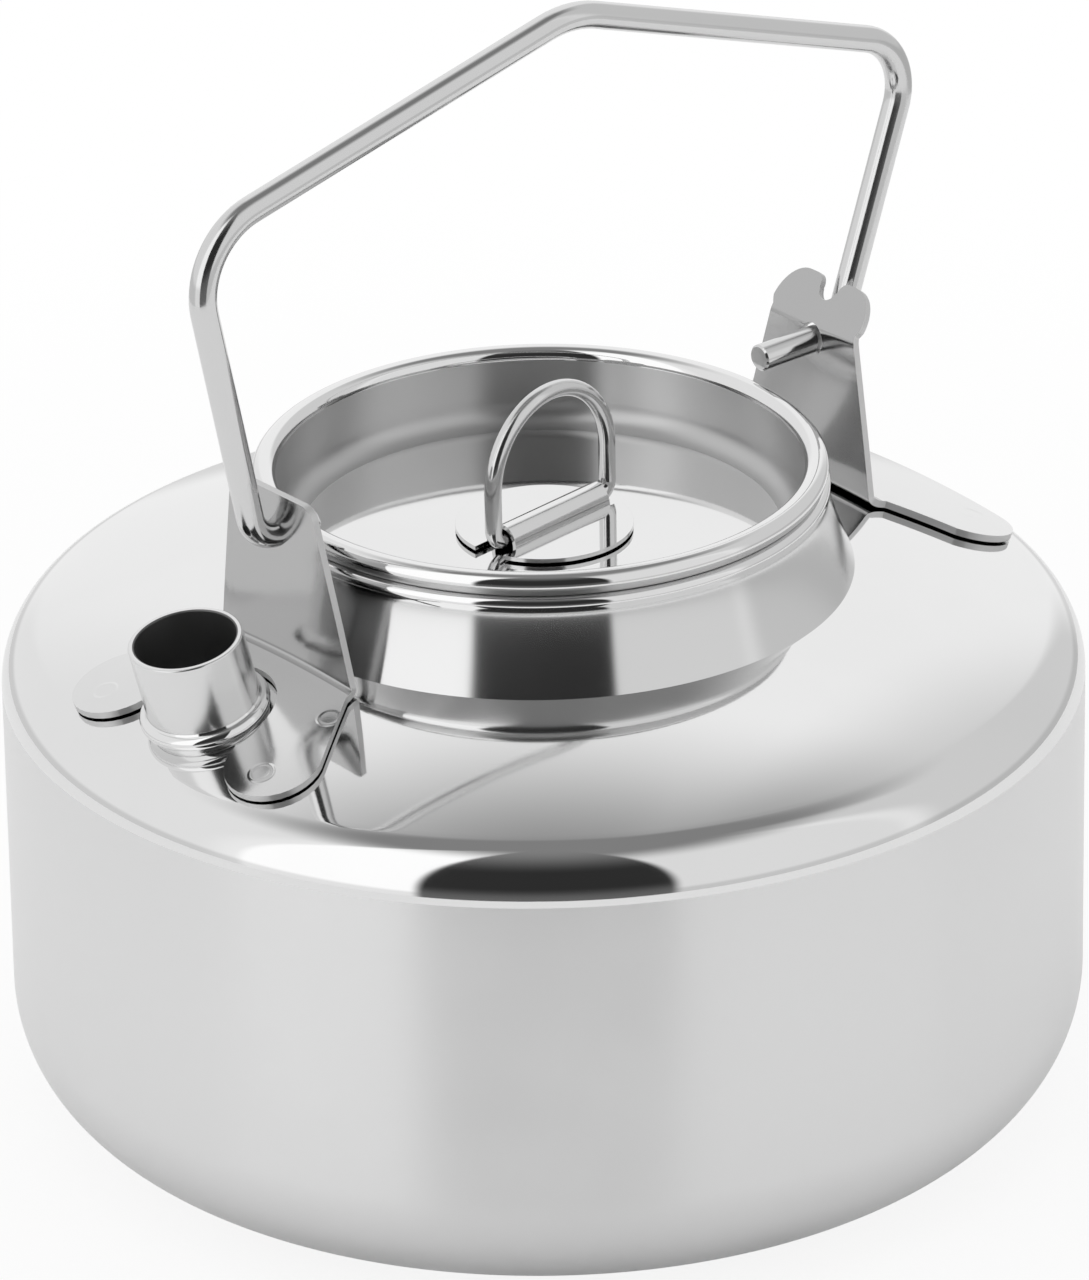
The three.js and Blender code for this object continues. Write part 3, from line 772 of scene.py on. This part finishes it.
def studio_world():
    """A white tent that is open towards the front and darker overhead. The camera itself sees plain white."""
    world = bpy.data.worlds.new("tent")
    bpy.context.scene.world = world
    world.use_nodes = True
    nodes = Nodes(world.node_tree)
    direction = nodes.add("ShaderNodeTexCoord").outputs["Generated"]
    turned_view = nodes.add(
        "ShaderNodeVectorRotate",
        {"Vector": direction, "Angle": -FRONT_AZIMUTH},
        rotation_type="Z_AXIS",
    )
    parts = nodes.add("ShaderNodeSeparateXYZ", {"Vector": turned_view.outputs[0]})
    height = nodes.math("ARCSINE", parts.outputs["Z"])
    # 0 towards the front, positive to the right as seen from the front
    azimuth = nodes.math("ARCTAN2", parts.outputs["Y"], parts.outputs["X"])

    def between(value, low, high, soft):
        rise = nodes.ramp(value, math.radians(low - soft), math.radians(low + soft))
        fall = nodes.ramp(value, math.radians(high - soft), math.radians(high + soft), 1.0, 0.0)
        return nodes.math("MULTIPLY", rise, fall)

    def mix(factor, below, above):
        return nodes.add("ShaderNodeMix", {"Factor": factor, "A": below, "B": above}).outputs["Result"]

    light = TENT_LIGHT
    for low, high, soft, panel_light in TENT_PANELS:
        light = mix(between(azimuth, low, high, soft), light, panel_light)
    # the ceiling starts higher over the bright left panel and lower over the far right one
    rise = nodes.math("MULTIPLY", nodes.math("COSINE", azimuth), math.radians(3))
    rise = mix(between(azimuth, -64, -26, 4), rise, math.radians(12))
    rise = mix(between(azimuth, 105, 158, 8), rise, math.radians(-8))
    ceiling = nodes.ramp(nodes.math("SUBTRACT", height, rise), math.radians(51), math.radians(75))
    light = mix(ceiling, light, CEILING_LIGHT)
    # the dark front gap, deepest a little above the horizon
    dark_high = nodes.ramp(height, math.radians(40), math.radians(88), 0.03, CEILING_LIGHT)
    dark_low = nodes.ramp(height, math.radians(-14), math.radians(12), 0.13, 0.0)
    gap_light = nodes.math("ADD", dark_high, dark_low)
    light = mix(between(azimuth, -FRONT_GAP, FRONT_GAP, 1.5), light, gap_light)
    below = nodes.ramp(height, math.radians(-7), math.radians(-1), 1.0, 0.0)
    light = mix(nodes.math("MULTIPLY", below, 0.25), light, 0.1)

    seen = nodes.add("ShaderNodeLightPath").outputs["Is Camera Ray"]
    strength = mix(seen, light, 1.0)
    background = nodes.add("ShaderNodeBackground", {"Color": (1, 1, 1, 1), "Strength": strength})
    output = nodes.add("ShaderNodeOutputWorld")
    nodes.tree.links.new(background.outputs[0], output.inputs[0])


def floor():
    """A white table top, round, just wide enough for the reflections. It keeps the kettle's shadow."""
    mesh = bpy.data.meshes.new("table_top")
    build = bmesh.new()
    bmesh.ops.create_circle(build, cap_ends=True, radius=TABLE_RADIUS, segments=96)
    build.to_mesh(mesh)
    build.free()
    top = bpy.data.objects.new("table_top", mesh)
    top.location.z = -0.0002
    bpy.context.scene.collection.objects.link(top)
    material = bpy.data.materials.new("white_table")
    material.use_nodes = True
    nodes = Nodes(material.node_tree)
    path = nodes.add("ShaderNodeLightPath")
    place = nodes.add("ShaderNodeTexCoord").outputs["Object"]
    radius = nodes.add("ShaderNodeVectorMath", {0: place}, operation="LENGTH").outputs["Value"]
    white = nodes.add("ShaderNodeBsdfDiffuse", {"Color": TABLE_COLOUR})
    glow = nodes.add("ShaderNodeEmission", {"Color": (1, 1, 1, 1), "Strength": 1.0})
    # the shadow is kept round the kettle and fades to plain white before the edge
    plain = nodes.ramp(radius, 0.14, 0.34, 0.88, 1.0)
    share = nodes.math("MULTIPLY", path.outputs["Is Camera Ray"], plain)
    mirrored = nodes.math("MULTIPLY", path.outputs["Is Glossy Ray"], 0.06)
    factor = nodes.math("ADD", share, mirrored, clamp=True)
    surface = nodes.add("ShaderNodeMixShader", {0: factor, 1: white.outputs[0], 2: glow.outputs[0]})
    output = nodes.add("ShaderNodeOutputMaterial")
    nodes.tree.links.new(surface.outputs[0], output.inputs[0])
    mesh.materials.append(material)


def overhead_lamp():
    """A broad soft lamp for the table top. The steel doesn't mirror it."""
    data = bpy.data.lights.new("overhead", "AREA")
    data.shape = "DISK"
    data.size = 1.2
    data.energy = 5
    lamp = bpy.data.objects.new("overhead", data)
    lamp.location = (0, 0, 1.2)
    lamp.visible_glossy = False
    bpy.context.scene.collection.objects.link(lamp)


studio_world()
floor()
overhead_lamp()

bpy.context.scene.view_settings.view_transform = "Standard"
